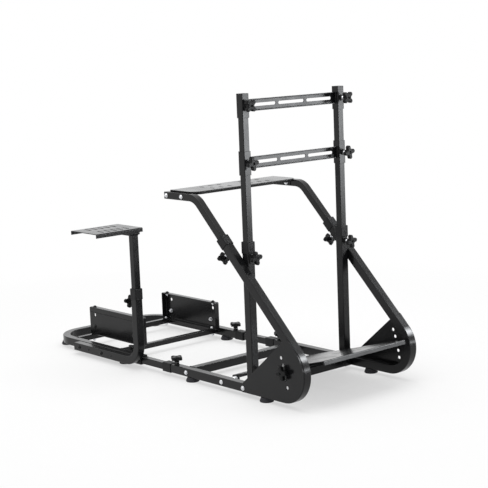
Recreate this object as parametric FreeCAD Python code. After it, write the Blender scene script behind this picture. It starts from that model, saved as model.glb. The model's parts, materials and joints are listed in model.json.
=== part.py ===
"""Driving simulator cockpit frame: bent side tubes, monitor masts, wheel and pedal decks, sliding seat base."""
import FreeCAD
import Part
import math
import os

V = FreeCAD.Vector

# Driving dimensions, in millimetres and degrees.
# X runs forward to the pedals, Y to the driver's left, Z up from the floor. X = 0 is the mast line.

# Square tube stock.
OUTER = 30.0
OUTER_WALL = 1.5
OUTER_CORNER = 2.5
INNER = 25.0
INNER_WALL = 1.5
INNER_CORNER = 2.0
BAR = 20.0
BAR_WALL = 1.5
BAR_CORNER = 2.0
SLIDE_GAP = 0.3

# Frame layout.
HALF_WIDTH = 250.0
FOOT_HEIGHT = 16.0
FOOT_DIAMETER = 48.0
FOOT_TOP_DIAMETER = 38.0
FOOT_SOLE_CHAMFER = 1.5
FOOT_SHOULDER = 5.0
BASE_FOOT_REAR_X = -294.0
BASE_FOOT_FRONT_X = 100.0

# Side tubes: base run, front loop and diagonal.
BASE_REAR_X = -444.0
LOOP_RADIUS = 87.0
DIAGONAL_ANGLE = 44.4
DIAGONAL_FLOOR_X = 446.5
DIAGONAL_TOP_Z = 531.0
MID_CROSS_X = -312.0

# Gusset plates on the outside of the loops.
GUSSET_THICKNESS = 3.0
GUSSET_RIM = 2.0
GUSSET_END_RADIUS = 14.0
GUSSET_TOP_Z = 218.0

# Masts and their monitor bars.
MAST_LOWER_TOP_Z = 522.0
MAST_TOP_Z = 1018.0
MAST_INSERT = 230.0
CAP_THICKNESS = 3.0
CAP_PLUG = 16.0
CAP_CHAMFER = 1.0
SLEEVE_HEIGHT = 80.0
MONITOR_BAR_SPACING = 190.0
MONITOR_BAR_HEIGHT = 40.0
MONITOR_BAR_DEPTH = 10.0
MONITOR_SLOT_WIDTH = 11.0
MONITOR_SLOT_BRIDGE = 12.0
MONITOR_SLOT_MARGIN = 16.0
MONITOR_SLOT_COUNT = 3

# Folded sheet.
SHEET = 2.5
SHEET_BEND = 4.0

# Wheel arms and deck.
ARM_INSERT = 220.0
ARM_RADIUS = 70.0
ARM_Z = 660.0
ARM_REAR_X = -391.0
WHEEL_DECK_REAR_X = -384.0
WHEEL_DECK_DEPTH = 138.0
WHEEL_DECK_OVERHANG = 7.0
WHEEL_DECK_RISE = 5.5
WHEEL_DECK_FLANGE = 10.5
WHEEL_DECK_FRONT_CORNER = 36.0
WHEEL_DECK_REAR_CORNER = 6.0
WHEEL_TAB_LENGTH = 104.0
WHEEL_TAB_DROP = 21.0
WHEEL_SLOT_WIDTH = 8.0
WHEEL_SLOT_LENGTH = 26.0
WHEEL_SLOT_COLUMNS = (50.0, 90.0, 130.0)
WHEEL_SLOT_ROW_PITCH = 60.0

# Pedal deck, hinged at its rear and locked through an arc of index holes.
PIVOT_X = -117.0
PIVOT_PIN_RADIUS = 4.0
PIVOT_SPACER_RADIUS = 8.0
PIVOT_GAP = 0.05
INDEX_RADIUS = 342.0
INDEX_STEP = 4.2
INDEX_COUNT = 5
INDEX_HOLE_RADIUS = 6.0
PEDAL_ANGLE = 15.2
PEDAL_OFFSET = 13.0
PEDAL_SIDE_GAP = 10.0
PEDAL_REAR = -24.0
PEDAL_LENGTH = 478.0
PEDAL_FLANGE = 8.0
PEDAL_LIP = 15.0
PEDAL_EAR_RADIUS = 12.0
PEDAL_EAR_SHEET = 4.0
PEDAL_BOSS_RADIUS = 9.0
PEDAL_SLOT_WIDTH = 8.0
PEDAL_SLOT_LENGTH = 150.0
PEDAL_SLOT_COLUMNS = (60.0, 140.0)
PEDAL_SLOT_CENTRE = 300.0

# Telescoping link tubes and the seat frame behind them.
LINK_FRONT_X = -330.0
LINK_LENGTH = 450.0
SEAT_FRONT_X = -585.0
SEAT_REAR_X = -1171.0
SEAT_CORNER_RADIUS = 108.0
SEAT_FRONT_BAR_X = -738.0
SEAT_REAR_BAR_X = -1040.0
SEAT_FOOT_FRONT_X = -698.0

# Seat brackets, folded trays that stand on the two seat bars.
BRACKET_SPAN = 388.0
BRACKET_CENTRE_Y = 26.0
BRACKET_FRONT_X = -702.0
BRACKET_LENGTH = 346.0
BRACKET_HEIGHT = 111.0
BRACKET_FLANGE = 24.0
BRACKET_SHEET = 3.0
BRACKET_BEND = 5.0
BRACKET_CREASE_DROP = 19.0
BRACKET_CREASE_RADIUS = 1.2
BRACKET_HOLE_RADIUS = 6.5
BRACKET_HOLE_INSET = 38.0
BRACKET_HOLE_DROP = 28.0
SEAT_BOLT_RADIUS = 4.5
SEAT_BOLT_INSET = 24.0

# Shifter stand on the driver's right.
SHIFTER_SPACER = 3.0
SHIFTER_LEG_REAR_X = -971.0
SHIFTER_POST_X = -562.0
SHIFTER_RADIUS = 65.0
SHIFTER_LOWER_TOP_Z = 304.0
SHIFTER_POST_INSERT = 125.0
SHIFTER_PLATE_TOP_Z = 530.0
SHIFTER_PLATE_LEAD = 14.0
SHIFTER_PLATE_DEPTH = 160.0
SHIFTER_PLATE_WIDTH = 204.0
SHIFTER_PLATE_INSET = 33.0
SHIFTER_PLATE_FLANGE = 15.0
SHIFTER_PAD_LENGTH = 70.0
SHIFTER_PAD_WIDTH = 44.0
SHIFTER_PAD_THICKNESS = 10.0
SHIFTER_SLOT_WIDTH = 8.0
SHIFTER_SLOT_LENGTH = 40.0
SHIFTER_SLOT_PITCH_X = 80.0
SHIFTER_SLOT_PITCH_Y = 110.0
SHIFTER_SLOTS_BETWEEN = 3
LEG_BOLT_RADIUS = 5.0
LEG_BOLT_XS = (-938.0, -791.0)
LEG_SCREW_RADIUS = 3.0
LEG_SCREW_SHIFT = 67.0

# Plastic collars at the mouths of the outer tubes.
COLLAR_LENGTH = 46.0
POST_COLLAR_LENGTH = 40.0
COLLAR_LIP = 4.0
COLLAR_WALL = 2.0
COLLAR_CORNER = 3.5
COLLAR_CHAMFER = 1.5

# Clamping knobs.
KNOB_LOBES = 4
KNOB_RADIUS = 24.0
KNOB_LOBE_RADIUS = 7.5
KNOB_VALLEY_RADIUS = 19.0
KNOB_THICKNESS = 12.0
KNOB_CHAMFER = 2.0
KNOB_NECK_RADIUS = 9.0
KNOB_NECK_LENGTH = 9.0
KNOB_RECESS_RADIUS = 4.5
KNOB_RECESS_DEPTH = 3.0
SCREW_RADIUS = 4.0
SCREW_GAP = 0.3
BOSS_RADIUS = 9.0
BOSS_HEIGHT = 7.0
POST_KNOB_SETBACK = 13.0
BASE_KNOB_SETBACK = 20.0
SEAT_KNOB_SETBACK = 14.0
RIGHT_MAST_KNOB_STANDOFF = 3.0
LEFT_MAST_KNOB_STANDOFF = 12.0
ARM_KNOB_STANDOFF = 11.0
SHIFTER_KNOB_STANDOFF = 7.0
RAIL_KNOB_STANDOFF = 2.0
KNOB_TURN = 12.0
KNOB_TURN_SQUARE = 45.0

# Worked out from the driving dimensions.
BASE_Z = FOOT_HEIGHT + OUTER / 2
TUBE_TOP_Z = FOOT_HEIGHT + OUTER
SIDE_FACE_Y = HALF_WIDTH + OUTER / 2
INNER_FACE_Y = HALF_WIDTH - OUTER / 2
MAST_Y = HALF_WIDTH - OUTER
BASE_PIVOT_Z = BASE_Z
PEDAL_HALF_WIDTH = MAST_Y - OUTER / 2 - PEDAL_SIDE_GAP
UPPER_SLEEVE_TOP_Z = MAST_TOP_Z
LOWER_SLEEVE_TOP_Z = MAST_TOP_Z - MONITOR_BAR_SPACING
POST_CLAMP_DROP = POST_COLLAR_LENGTH - COLLAR_LIP + POST_KNOB_SETBACK
SHIFTER_Y = -(SIDE_FACE_Y + SHIFTER_SPACER + OUTER / 2)
FORWARD = V(1, 0, 0)
LEFT = V(0, 1, 0)
UP = V(0, 0, 1)
RIGHT = V(0, -1, 0)
REARWARD = V(-1, 0, 0)
SIDES = (("right", -1), ("left", 1))
MAST_KNOB_STANDOFF = {-1: RIGHT_MAST_KNOB_STANDOFF, 1: LEFT_MAST_KNOB_STANDOFF}

alpha = math.radians(DIAGONAL_ANGLE)
DIAGONAL = V(-math.cos(alpha), 0, math.sin(alpha))
DIAGONAL_UNDER = V(-math.sin(alpha), 0, -math.cos(alpha))
LOOP_X = DIAGONAL_FLOOR_X - (LOOP_RADIUS + (BASE_Z + LOOP_RADIUS) * math.cos(alpha)) / math.sin(alpha)
LOOP_Z = BASE_Z + LOOP_RADIUS


def diagonal_point(z, side):
    """Point on a diagonal tube's centreline at height z."""
    return V(DIAGONAL_FLOOR_X - z / math.tan(alpha), side * HALF_WIDTH, z)


def rounded_square(side_x, side_y, corner):
    """Wire of a rectangle with rounded corners, centred on the origin of the XY plane."""
    hx, hy = side_x / 2, side_y / 2
    k = corner * (1 - math.sqrt(0.5))
    edges = []
    for sx, sy in ((1, 1), (-1, 1), (-1, -1), (1, -1)):
        ends = [V(sx * hx, sy * (hy - corner), 0), V(sx * (hx - corner), sy * hy, 0)]
        if sx * sy < 0:
            ends.reverse()
        edges.append(Part.Arc(ends[0], V(sx * (hx - k), sy * (hy - k), 0), ends[1]).toShape())
    links = []
    for first, second in zip(edges, edges[1:] + edges[:1]):
        links.append(Part.makeLine(first.Vertexes[-1].Point, second.Vertexes[0].Point))
    return Part.Wire([edge for pair in zip(edges, links) for edge in pair])


def tube_face(size, wall, corner):
    """Cross-section of a square tube."""
    bore = size - 2 * wall
    inner_corner = max(corner - wall, 0.5)
    wires = [rounded_square(size, size, corner), rounded_square(bore, bore, inner_corner)]
    return Part.makeFace(wires, "Part::FaceMakerBullseye")


def place(shape, origin, x_axis, z_axis):
    """Copy of a shape with its own X and Z axes turned to the given directions."""
    y_axis = z_axis.cross(x_axis)
    copy = shape.copy()
    copy.Placement = FreeCAD.Placement(origin, FreeCAD.Rotation(x_axis, y_axis, z_axis, "ZXY"))
    return copy


def bent(face, start, heading, axis, steps):
    """Sweep a section along straight runs (length,) and bends (radius, angle) about one axis."""
    position, direction, pieces = start, heading, []
    for step in steps:
        section = place(face, position, axis, direction)
        if len(step) == 1:
            pieces.append(section.extrude(direction * step[0]))
            position = position + direction * step[0]
        else:
            radius, angle = step
            sense = math.copysign(1, angle)
            centre = position + axis.cross(direction) * radius * sense
            pieces.append(section.revolve(centre, axis * sense, abs(angle)))
            turn = FreeCAD.Rotation(axis, angle)
            position = centre + turn.multVec(position - centre)
            direction = turn.multVec(direction)
    if len(pieces) == 1:
        return pieces[0]
    return pieces[0].multiFuse(pieces[1:]).removeSplitter()


def straight_tube(size, wall, corner, start, heading, length, x_axis):
    """Straight square tube."""
    return place(tube_face(size, wall, corner), start, x_axis, heading).extrude(heading * length)


def cylinder(radius, start, heading, length):
    return Part.makeCylinder(radius, length, start, heading)


def box(low, high):
    return Part.makeBox(high[0] - low[0], high[1] - low[1], high[2] - low[2], V(*low))


def slot_cutter(centre, along, normal, length, width, depth):
    """Prism of a round-ended slot, cut through on both sides of its centre."""
    run = (length - width) / 2
    across = normal.cross(along)
    r = width / 2
    corners = [centre + along * (sx * run) + across * (sy * r) for sx, sy in ((-1, -1), (1, -1), (1, 1), (-1, 1))]
    edges = [
        Part.makeLine(corners[0], corners[1]),
        Part.Arc(corners[1], centre + along * (run + r), corners[2]).toShape(),
        Part.makeLine(corners[2], corners[3]),
        Part.Arc(corners[3], centre - along * (run + r), corners[0]).toShape(),
    ]
    face = Part.Face(Part.Wire(edges))
    face.translate(normal * (-depth / 2))
    return face.extrude(normal * depth)


def channel(width, depth, length):
    """Folded channel: outer face in the XZ plane through the origin, flanges back along -Y, run along Z."""
    half, outer, inner = width / 2, SHEET_BEND, SHEET_BEND - SHEET
    k = math.sqrt(0.5)
    edges = []
    for radius, x_out, y_out in ((outer, half, 0.0), (inner, half - SHEET, -SHEET)):
        ends = []
        for sx in (-1, 1):
            foot_point, start = V(sx * x_out, -depth, 0), V(sx * x_out, y_out - radius, 0)
            middle = V(sx * (x_out - radius * (1 - k)), y_out - radius * (1 - k), 0)
            finish = V(sx * (x_out - radius), y_out, 0)
            edges += [Part.makeLine(foot_point, start), Part.Arc(start, middle, finish).toShape()]
            ends.append(finish)
        edges.append(Part.makeLine(ends[0], ends[1]))
    for sx in (-1, 1):
        edges.append(Part.makeLine(V(sx * half, -depth, 0), V(sx * (half - SHEET), -depth, 0)))
    return Part.Face(Part.Wire(Part.__sortEdges__(edges))).extrude(V(0, 0, length))


def rounded_pan(low, high, bend, open_axis, open_sign):
    """Box with all its edges rounded except those on its open side."""
    block = box(low, high)
    limit = (high if open_sign > 0 else low)[open_axis]
    edges = [edge for edge in block.Edges if abs(edge.CenterOfMass[open_axis] - limit) > 1e-6]
    return block.makeFillet(bend, edges)


def star_profile():
    """Outline of a lobed knob: round lobes joined by hollow arcs."""
    lobe_centre = KNOB_RADIUS - KNOB_LOBE_RADIUS
    half_step = math.pi / KNOB_LOBES
    span = math.hypot(KNOB_VALLEY_RADIUS * math.cos(half_step) - lobe_centre,
                      KNOB_VALLEY_RADIUS * math.sin(half_step))
    valley = span - KNOB_LOBE_RADIUS

    def polar(radius, angle):
        return V(radius * math.cos(angle), radius * math.sin(angle), 0)

    def touch(lobe, hollow):
        start = polar(lobe_centre, lobe)
        return start + (polar(KNOB_VALLEY_RADIUS, hollow) - start) * (KNOB_LOBE_RADIUS / span)

    edges = []
    for index in range(KNOB_LOBES):
        lobe = 2 * half_step * index
        before, after = lobe - half_step, lobe + half_step
        edges.append(Part.Arc(touch(lobe, before), polar(KNOB_RADIUS, lobe), touch(lobe, after)).toShape())
        middle = polar(KNOB_VALLEY_RADIUS - valley, after)
        edges.append(Part.Arc(touch(lobe, after), middle, touch(lobe + 2 * half_step, after)).toShape())
    return Part.Face(Part.Wire(edges))


def knob(seat, outward, reach, standoff=0.0, turn=KNOB_TURN):
    """Lobed knob over a boss at seat, its neck held off by bare screw, with a screw that reaches inward."""
    head = star_profile().extrude(V(0, 0, KNOB_THICKNESS))
    rim = [edge for edge in head.Edges if abs(edge.BoundBox.ZLength) < 1e-6 and edge.CenterOfMass.z > 1]
    head = head.makeChamfer(KNOB_CHAMFER, rim)
    neck_top = standoff + KNOB_NECK_LENGTH
    head.rotate(V(0, 0, 0), UP, turn)
    head.translate(V(0, 0, neck_top))
    neck = cylinder(KNOB_NECK_RADIUS, V(0, 0, standoff), UP, KNOB_NECK_LENGTH)
    screw = cylinder(SCREW_RADIUS, V(0, 0, -reach), UP, reach + neck_top)
    recess_floor = neck_top + KNOB_THICKNESS - KNOB_RECESS_DEPTH
    recess = cylinder(KNOB_RECESS_RADIUS, V(0, 0, recess_floor), UP, KNOB_RECESS_DEPTH)
    whole = head.multiFuse([neck, screw]).removeSplitter().cut(recess)
    x_axis = LEFT if abs(outward.y) < 0.5 else UP
    return place(whole, seat, x_axis, outward)


def clamp_boss(face_point, outward):
    """Weld nut on a tube's face."""
    return cylinder(BOSS_RADIUS, face_point, outward, BOSS_HEIGHT)


def clamp_hole(face_point, outward):
    """Clearance hole for a clamping screw through boss and wall."""
    depth = BOSS_HEIGHT + 2 * OUTER_WALL
    return cylinder(SCREW_RADIUS + SCREW_GAP, face_point - outward * (2 * OUTER_WALL), outward, depth)


def add_clamp(tube, axis_point, outward):
    """Weld a nut to an outer tube and drill it."""
    face_point = axis_point + outward * (OUTER / 2)
    return tube.fuse(clamp_boss(face_point, outward)).cut(clamp_hole(face_point, outward))


def clamp_knob(axis_point, outward, standoff, turn=KNOB_TURN):
    """Knob on a clamp boss, its screw ending just short of the inner tube."""
    seat = axis_point + outward * (OUTER / 2 + BOSS_HEIGHT)
    reach = BOSS_HEIGHT + (OUTER - INNER) / 2 - SLIDE_GAP
    return knob(seat, outward, reach, standoff, turn)


def collar(mouth, outward, x_axis, length=COLLAR_LENGTH):
    """Plastic collar over a tube's mouth, its lip guiding the inner tube."""
    size = OUTER + 2 * COLLAR_WALL
    body = Part.Face(rounded_square(size, size, COLLAR_CORNER)).extrude(V(0, 0, length))
    ends = [edge for edge in body.Edges if edge.BoundBox.ZLength < 1e-6 and edge.CenterOfMass.z > 1]
    body = body.makeChamfer(COLLAR_CHAMFER, ends)
    deep = length - COLLAR_LIP
    half, guide = OUTER / 2, INNER / 2 + SLIDE_GAP
    body = body.cut(box((-half, -half, 0), (half, half, deep)))
    body = body.cut(box((-guide, -guide, deep), (guide, guide, length)))
    return place(body, mouth - outward * deep, x_axis, outward)


def end_cap(mouth, outward, x_axis, size, wall, corner):
    """Plug in the open end of a square tube, with a flange flush with its sides."""
    bore = size - 2 * wall
    flange = Part.Face(rounded_square(size, size, corner)).extrude(V(0, 0, CAP_THICKNESS))
    rim = [edge for edge in flange.Edges if edge.BoundBox.ZLength < 1e-6 and edge.CenterOfMass.z > 1]
    flange = flange.makeChamfer(CAP_CHAMFER, rim)
    plug = Part.Face(rounded_square(bore, bore, max(corner - wall, 0.5))).extrude(V(0, 0, -CAP_PLUG))
    return place(flange.fuse(plug), mouth, x_axis, outward)


def inner_cap(mouth, outward, x_axis):
    return end_cap(mouth, outward, x_axis, INNER, INNER_WALL, INNER_CORNER)


def foot(x, y):
    """Moulded rubber foot, wider at the floor."""
    sole, top = FOOT_DIAMETER / 2, FOOT_TOP_DIAMETER / 2
    outline = [(0, 0), (sole - FOOT_SOLE_CHAMFER, 0), (sole, FOOT_SOLE_CHAMFER),
               (sole, FOOT_SHOULDER), (top, FOOT_HEIGHT), (0, FOOT_HEIGHT), (0, 0)]
    face = Part.Face(Part.makePolygon([V(x + r, y, z) for r, z in outline]))
    return face.revolve(V(x, y, 0), UP, 360)


def side_tube(side):
    """Base run, front loop and diagonal in one bent tube, with the two clamp nuts and pivot hole."""
    start = V(BASE_REAR_X, side * HALF_WIDTH, BASE_Z)
    turn = 180.0 - DIAGONAL_ANGLE
    loop_end = V(LOOP_X, 0, LOOP_Z) + V(math.sin(alpha), 0, math.cos(alpha)) * LOOP_RADIUS
    rise = (DIAGONAL_TOP_Z - loop_end.z) / math.sin(alpha)
    steps = [(LOOP_X - BASE_REAR_X,), (LOOP_RADIUS, turn), (rise,)]
    tube = bent(tube_face(OUTER, OUTER_WALL, OUTER_CORNER), start, FORWARD, RIGHT, steps)
    tube = add_clamp(tube, base_clamp_point(side), UP)
    return add_clamp(tube, arm_clamp_point(side), DIAGONAL_UNDER)


def base_clamp_point(side):
    return V(BASE_REAR_X + COLLAR_LENGTH - COLLAR_LIP + BASE_KNOB_SETBACK, side * HALF_WIDTH, BASE_Z)


def arm_clamp_point(side):
    return diagonal_point(DIAGONAL_TOP_Z, side) - DIAGONAL * POST_CLAMP_DROP


def mast_clamp_point(side):
    return V(0, side * MAST_Y, MAST_LOWER_TOP_Z - POST_CLAMP_DROP)


def seat_clamp_point(side):
    return V(SEAT_FRONT_X - COLLAR_LENGTH + COLLAR_LIP - SEAT_KNOB_SETBACK, side * HALF_WIDTH, BASE_Z)


def hull_of_circles(circles, y_low, thickness):
    """Plate outlined by the tangent hull of circles (x, z, radius) given in turning order."""
    edges, count = [], len(circles)
    tangents = []
    for index in range(count):
        (x1, z1, r1), (x2, z2, r2) = circles[index], circles[(index + 1) % count]
        angle = math.atan2(z2 - z1, x2 - x1) - math.acos((r1 - r2) / math.hypot(x2 - x1, z2 - z1))
        normal = V(math.cos(angle), 0, math.sin(angle))
        tangents.append((V(x1, y_low, z1) + normal * r1, V(x2, y_low, z2) + normal * r2, angle))
    for index in range(count):
        x, z, radius = circles[index]
        arrive, leave = tangents[index - 1][2], tangents[index][2]
        while leave < arrive:
            leave += 2 * math.pi
        middle = (arrive + leave) / 2
        mid_point = V(x, y_low, z) + V(math.cos(middle), 0, math.sin(middle)) * radius
        edges.append(Part.Arc(tangents[index - 1][1], mid_point, tangents[index][0]).toShape())
        edges.append(Part.makeLine(tangents[index][0], tangents[index][1]))
    return Part.Face(Part.Wire(edges)).extrude(LEFT * thickness)


def index_point(step):
    """Centre of an index hole in the XZ plane, counted from the middle hole."""
    angle = math.radians(PEDAL_ANGLE + step * INDEX_STEP)
    return V(PIVOT_X + INDEX_RADIUS * math.cos(angle), 0, BASE_PIVOT_Z + INDEX_RADIUS * math.sin(angle))


def gusset_plate(side):
    """Teardrop plate over the loop with the arc of index holes."""
    top = diagonal_point(GUSSET_TOP_Z, side)
    circles = [
        (0.0, BASE_Z, GUSSET_END_RADIUS),
        (LOOP_X, LOOP_Z, LOOP_RADIUS + OUTER / 2 - GUSSET_RIM),
        (top.x, top.z, GUSSET_END_RADIUS),
    ]
    y_low = SIDE_FACE_Y if side > 0 else -SIDE_FACE_Y - GUSSET_THICKNESS
    plate = hull_of_circles(circles, y_low, GUSSET_THICKNESS)
    reach = (INDEX_COUNT - 1) // 2
    for step in range(-reach, reach + 1):
        centre = index_point(step) + LEFT * (y_low - GUSSET_THICKNESS)
        plate = plate.cut(cylinder(INDEX_HOLE_RADIUS, centre, LEFT, 3 * GUSSET_THICKNESS))
    return plate


def pedal_knob(side):
    """Long knob through the middle index hole, outside the gusset plate."""
    outward = LEFT * side
    seat = index_point(0) + outward * (SIDE_FACE_Y + GUSSET_THICKNESS)
    return knob(seat, outward, GUSSET_THICKNESS)


def pedal_pivot(side):
    """Spacer and pin that carry the pedal deck beside the base tube."""
    outward = LEFT * side
    inner = V(PIVOT_X, side * INNER_FACE_Y, BASE_PIVOT_Z)
    ear_outer = PEDAL_HALF_WIDTH
    spacer = cylinder(PIVOT_SPACER_RADIUS, inner, outward * -1, INNER_FACE_Y - ear_outer - SLIDE_GAP)
    pin = cylinder(PIVOT_PIN_RADIUS, inner, outward * -1, INNER_FACE_Y - ear_outer + PEDAL_EAR_SHEET)
    return spacer.fuse(pin)


def deck_axes():
    slope = math.radians(PEDAL_ANGLE)
    return V(math.cos(slope), 0, math.sin(slope)), V(-math.sin(slope), 0, math.cos(slope))


def pedal_plate():
    """Pressed deck with shallow side flanges, deeper front and rear lips, pivot ears and lock bosses."""
    along, normal = deck_axes()
    top, front, w = PEDAL_OFFSET, PEDAL_REAR + PEDAL_LENGTH, PEDAL_HALF_WIDTH
    rear, low = PEDAL_REAR, top - PEDAL_LIP
    deck = rounded_pan((rear, -w, low), (front, w, top), SHEET_BEND, 2, -1)
    deck = deck.cut(rounded_pan((rear + SHEET, SHEET - w, low), (front - SHEET, w - SHEET, top - SHEET),
                                SHEET_BEND - SHEET, 2, -1))
    deck = deck.cut(box((rear + SHEET_BEND, -w, low), (front - SHEET_BEND, w, top - PEDAL_FLANGE)))
    parts = []
    for side in (-1, 1):
        ear_low, ear_high = sorted((side * w, side * (w - PEDAL_EAR_SHEET)))
        for station in (0.0, INDEX_RADIUS):
            ear = cylinder(PEDAL_EAR_RADIUS, V(station, ear_low, 0), LEFT, PEDAL_EAR_SHEET)
            web = box((station - PEDAL_EAR_RADIUS, ear_low, 0),
                      (station + PEDAL_EAR_RADIUS, ear_high, top - SHEET_BEND))
            parts += [ear, web]
        boss = cylinder(PEDAL_BOSS_RADIUS, V(INDEX_RADIUS, side * (w - PEDAL_EAR_SHEET), 0), LEFT * side,
                        SIDE_FACE_Y - w + PEDAL_EAR_SHEET - SLIDE_GAP)
        parts.append(boss)
    deck = deck.multiFuse(parts).removeSplitter()
    for low_y in (-w, w - PEDAL_EAR_SHEET):
        deck = deck.cut(cylinder(PIVOT_PIN_RADIUS + PIVOT_GAP, V(0, low_y, 0), LEFT, PEDAL_EAR_SHEET))
    for column in PEDAL_SLOT_COLUMNS:
        for side in (-1, 1):
            centre = V(PEDAL_SLOT_CENTRE, side * column, top)
            deck = deck.cut(slot_cutter(centre, FORWARD, UP, PEDAL_SLOT_LENGTH, PEDAL_SLOT_WIDTH, 4 * SHEET))
    return place(deck, V(PIVOT_X, 0, BASE_PIVOT_Z), along, normal)


def mast_lower(side):
    """Lower mast tube standing inside the side tube, with its clamp nut."""
    foot_point = V(0, side * MAST_Y, FOOT_HEIGHT)
    height = MAST_LOWER_TOP_Z - FOOT_HEIGHT
    tube = straight_tube(OUTER, OUTER_WALL, OUTER_CORNER, foot_point, UP, height, FORWARD)
    return add_clamp(tube, mast_clamp_point(side), FORWARD)


def mast_upper(side):
    """Upper mast tube that telescopes in the lower one."""
    start = V(0, side * MAST_Y, MAST_LOWER_TOP_Z - MAST_INSERT)
    height = MAST_TOP_Z - CAP_THICKNESS - start.z
    return straight_tube(INNER, INNER_WALL, INNER_CORNER, start, UP, height, FORWARD)


def sleeve(side, top_z):
    """Short square sleeve around the upper mast, with its clamp nut."""
    start = V(0, side * MAST_Y, top_z - SLEEVE_HEIGHT)
    tube = straight_tube(OUTER, OUTER_WALL, OUTER_CORNER, start, UP, SLEEVE_HEIGHT, FORWARD)
    return add_clamp(tube, V(0, side * MAST_Y, top_z - SLEEVE_HEIGHT / 2), FORWARD)


def monitor_bar(top_z):
    """Shallow slotted channel between two sleeves, open to the rear."""
    half_span = MAST_Y - OUTER / 2
    mid_z, face_x = top_z - SLEEVE_HEIGHT / 2, MONITOR_BAR_DEPTH - OUTER / 2
    bar = channel(MONITOR_BAR_HEIGHT, MONITOR_BAR_DEPTH, 2 * half_span)
    bar = place(bar, V(face_x, half_span, mid_z), UP, RIGHT)
    run = 2 * half_span - 2 * MONITOR_SLOT_MARGIN
    pitch = (run + MONITOR_SLOT_BRIDGE) / MONITOR_SLOT_COUNT
    first = -(MONITOR_SLOT_COUNT - 1) / 2 * pitch
    for index in range(MONITOR_SLOT_COUNT):
        centre = V(face_x, first + index * pitch, mid_z)
        length = pitch - MONITOR_SLOT_BRIDGE
        bar = bar.cut(slot_cutter(centre, LEFT, FORWARD, length, MONITOR_SLOT_WIDTH, 4 * SHEET))
    return bar


def wheel_arm(side):
    """Arm that telescopes in the diagonal and bends level under the wheel deck."""
    start = diagonal_point(DIAGONAL_TOP_Z, side) - DIAGONAL * ARM_INSERT
    corner = diagonal_point(ARM_Z, side)
    tangent = ARM_RADIUS * math.tan(alpha / 2)
    climb = (corner - start).Length - tangent
    run = corner.x - tangent - ARM_REAR_X
    steps = [(climb,), (ARM_RADIUS, DIAGONAL_ANGLE), (run,)]
    return bent(tube_face(INNER, INNER_WALL, INNER_CORNER), start, DIAGONAL, RIGHT, steps)


def wheel_plate():
    """Folded deck over the arms with rounded front corners, slots, and side tabs bolted inside the arms."""
    arm_top, arm_inside = ARM_Z + INNER / 2, HALF_WIDTH - INNER / 2
    top_z, half = arm_top + WHEEL_DECK_RISE, arm_inside + WHEEL_DECK_OVERHANG
    rear_x, front_x = WHEEL_DECK_REAR_X, WHEEL_DECK_REAR_X + WHEEL_DECK_DEPTH
    mid_x = (rear_x + front_x) / 2
    plate = channel(WHEEL_DECK_DEPTH, WHEEL_DECK_FLANGE, 2 * half)
    plate = place(plate, V(mid_x, half, top_z), FORWARD, RIGHT)
    blank = box((rear_x, -half, top_z - WHEEL_DECK_FLANGE), (front_x, half, top_z))
    for x, radius in ((front_x, WHEEL_DECK_FRONT_CORNER), (rear_x, WHEEL_DECK_REAR_CORNER)):
        posts = [e for e in blank.Edges if e.BoundBox.ZLength > 1 and abs(e.CenterOfMass.x - x) < 1e-6]
        blank = blank.makeFillet(radius, posts)
    plate = plate.common(blank)
    tab_rear = rear_x + SHEET
    tabs = []
    for side in (-1, 1):
        low_y, high_y = sorted((side * arm_inside, side * half))
        plate = plate.cut(box((rear_x, low_y, top_z - WHEEL_DECK_FLANGE), (front_x, high_y, arm_top)))
        low_y, high_y = sorted((side * arm_inside, side * (arm_inside - SHEET)))
        tabs.append(box((tab_rear, low_y, arm_top - WHEEL_TAB_DROP),
                        (tab_rear + WHEEL_TAB_LENGTH, high_y, top_z - SHEET / 2)))
    plate = plate.multiFuse(tabs).removeSplitter()
    for row in (-1, 1):
        for column in WHEEL_SLOT_COLUMNS:
            for side in (-1, 1):
                centre = V(mid_x + row * WHEEL_SLOT_ROW_PITCH / 2, side * column, top_z)
                cutter = slot_cutter(centre, FORWARD, UP, WHEEL_SLOT_LENGTH, WHEEL_SLOT_WIDTH, 4 * SHEET)
                plate = plate.cut(cutter)
    return plate


def link_tube(side):
    """Tube that telescopes between the base run and the seat frame."""
    start = V(LINK_FRONT_X - LINK_LENGTH, side * HALF_WIDTH, BASE_Z)
    return straight_tube(INNER, INNER_WALL, INNER_CORNER, start, FORWARD, LINK_LENGTH, LEFT)


def seat_loop():
    """U-shaped seat frame tube with rounded rear corners and two clamp nuts."""
    start = V(SEAT_FRONT_X, -HALF_WIDTH, BASE_Z)
    side_run = SEAT_FRONT_X - SEAT_REAR_X - SEAT_CORNER_RADIUS
    rear_run = 2 * (HALF_WIDTH - SEAT_CORNER_RADIUS)
    steps = [(side_run,), (SEAT_CORNER_RADIUS, -90.0), (rear_run,), (SEAT_CORNER_RADIUS, -90.0), (side_run,)]
    tube = bent(tube_face(OUTER, OUTER_WALL, OUTER_CORNER), start, REARWARD, UP, steps)
    for _, side in SIDES:
        tube = add_clamp(tube, seat_clamp_point(side), UP)
    return tube


def seat_bar(x):
    """Cross bar between the seat frame's sides, flush with their tops."""
    start = V(x, -INNER_FACE_Y, TUBE_TOP_Z - BAR / 2)
    return straight_tube(BAR, BAR_WALL, BAR_CORNER, start, LEFT, 2 * INNER_FACE_Y, FORWARD)


def cross_tube(x, half_length):
    """Level cross tube between the two sides of the base."""
    start = V(x, -half_length, BASE_Z)
    return straight_tube(OUTER, OUTER_WALL, OUTER_CORNER, start, LEFT, 2 * half_length, FORWARD)


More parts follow.
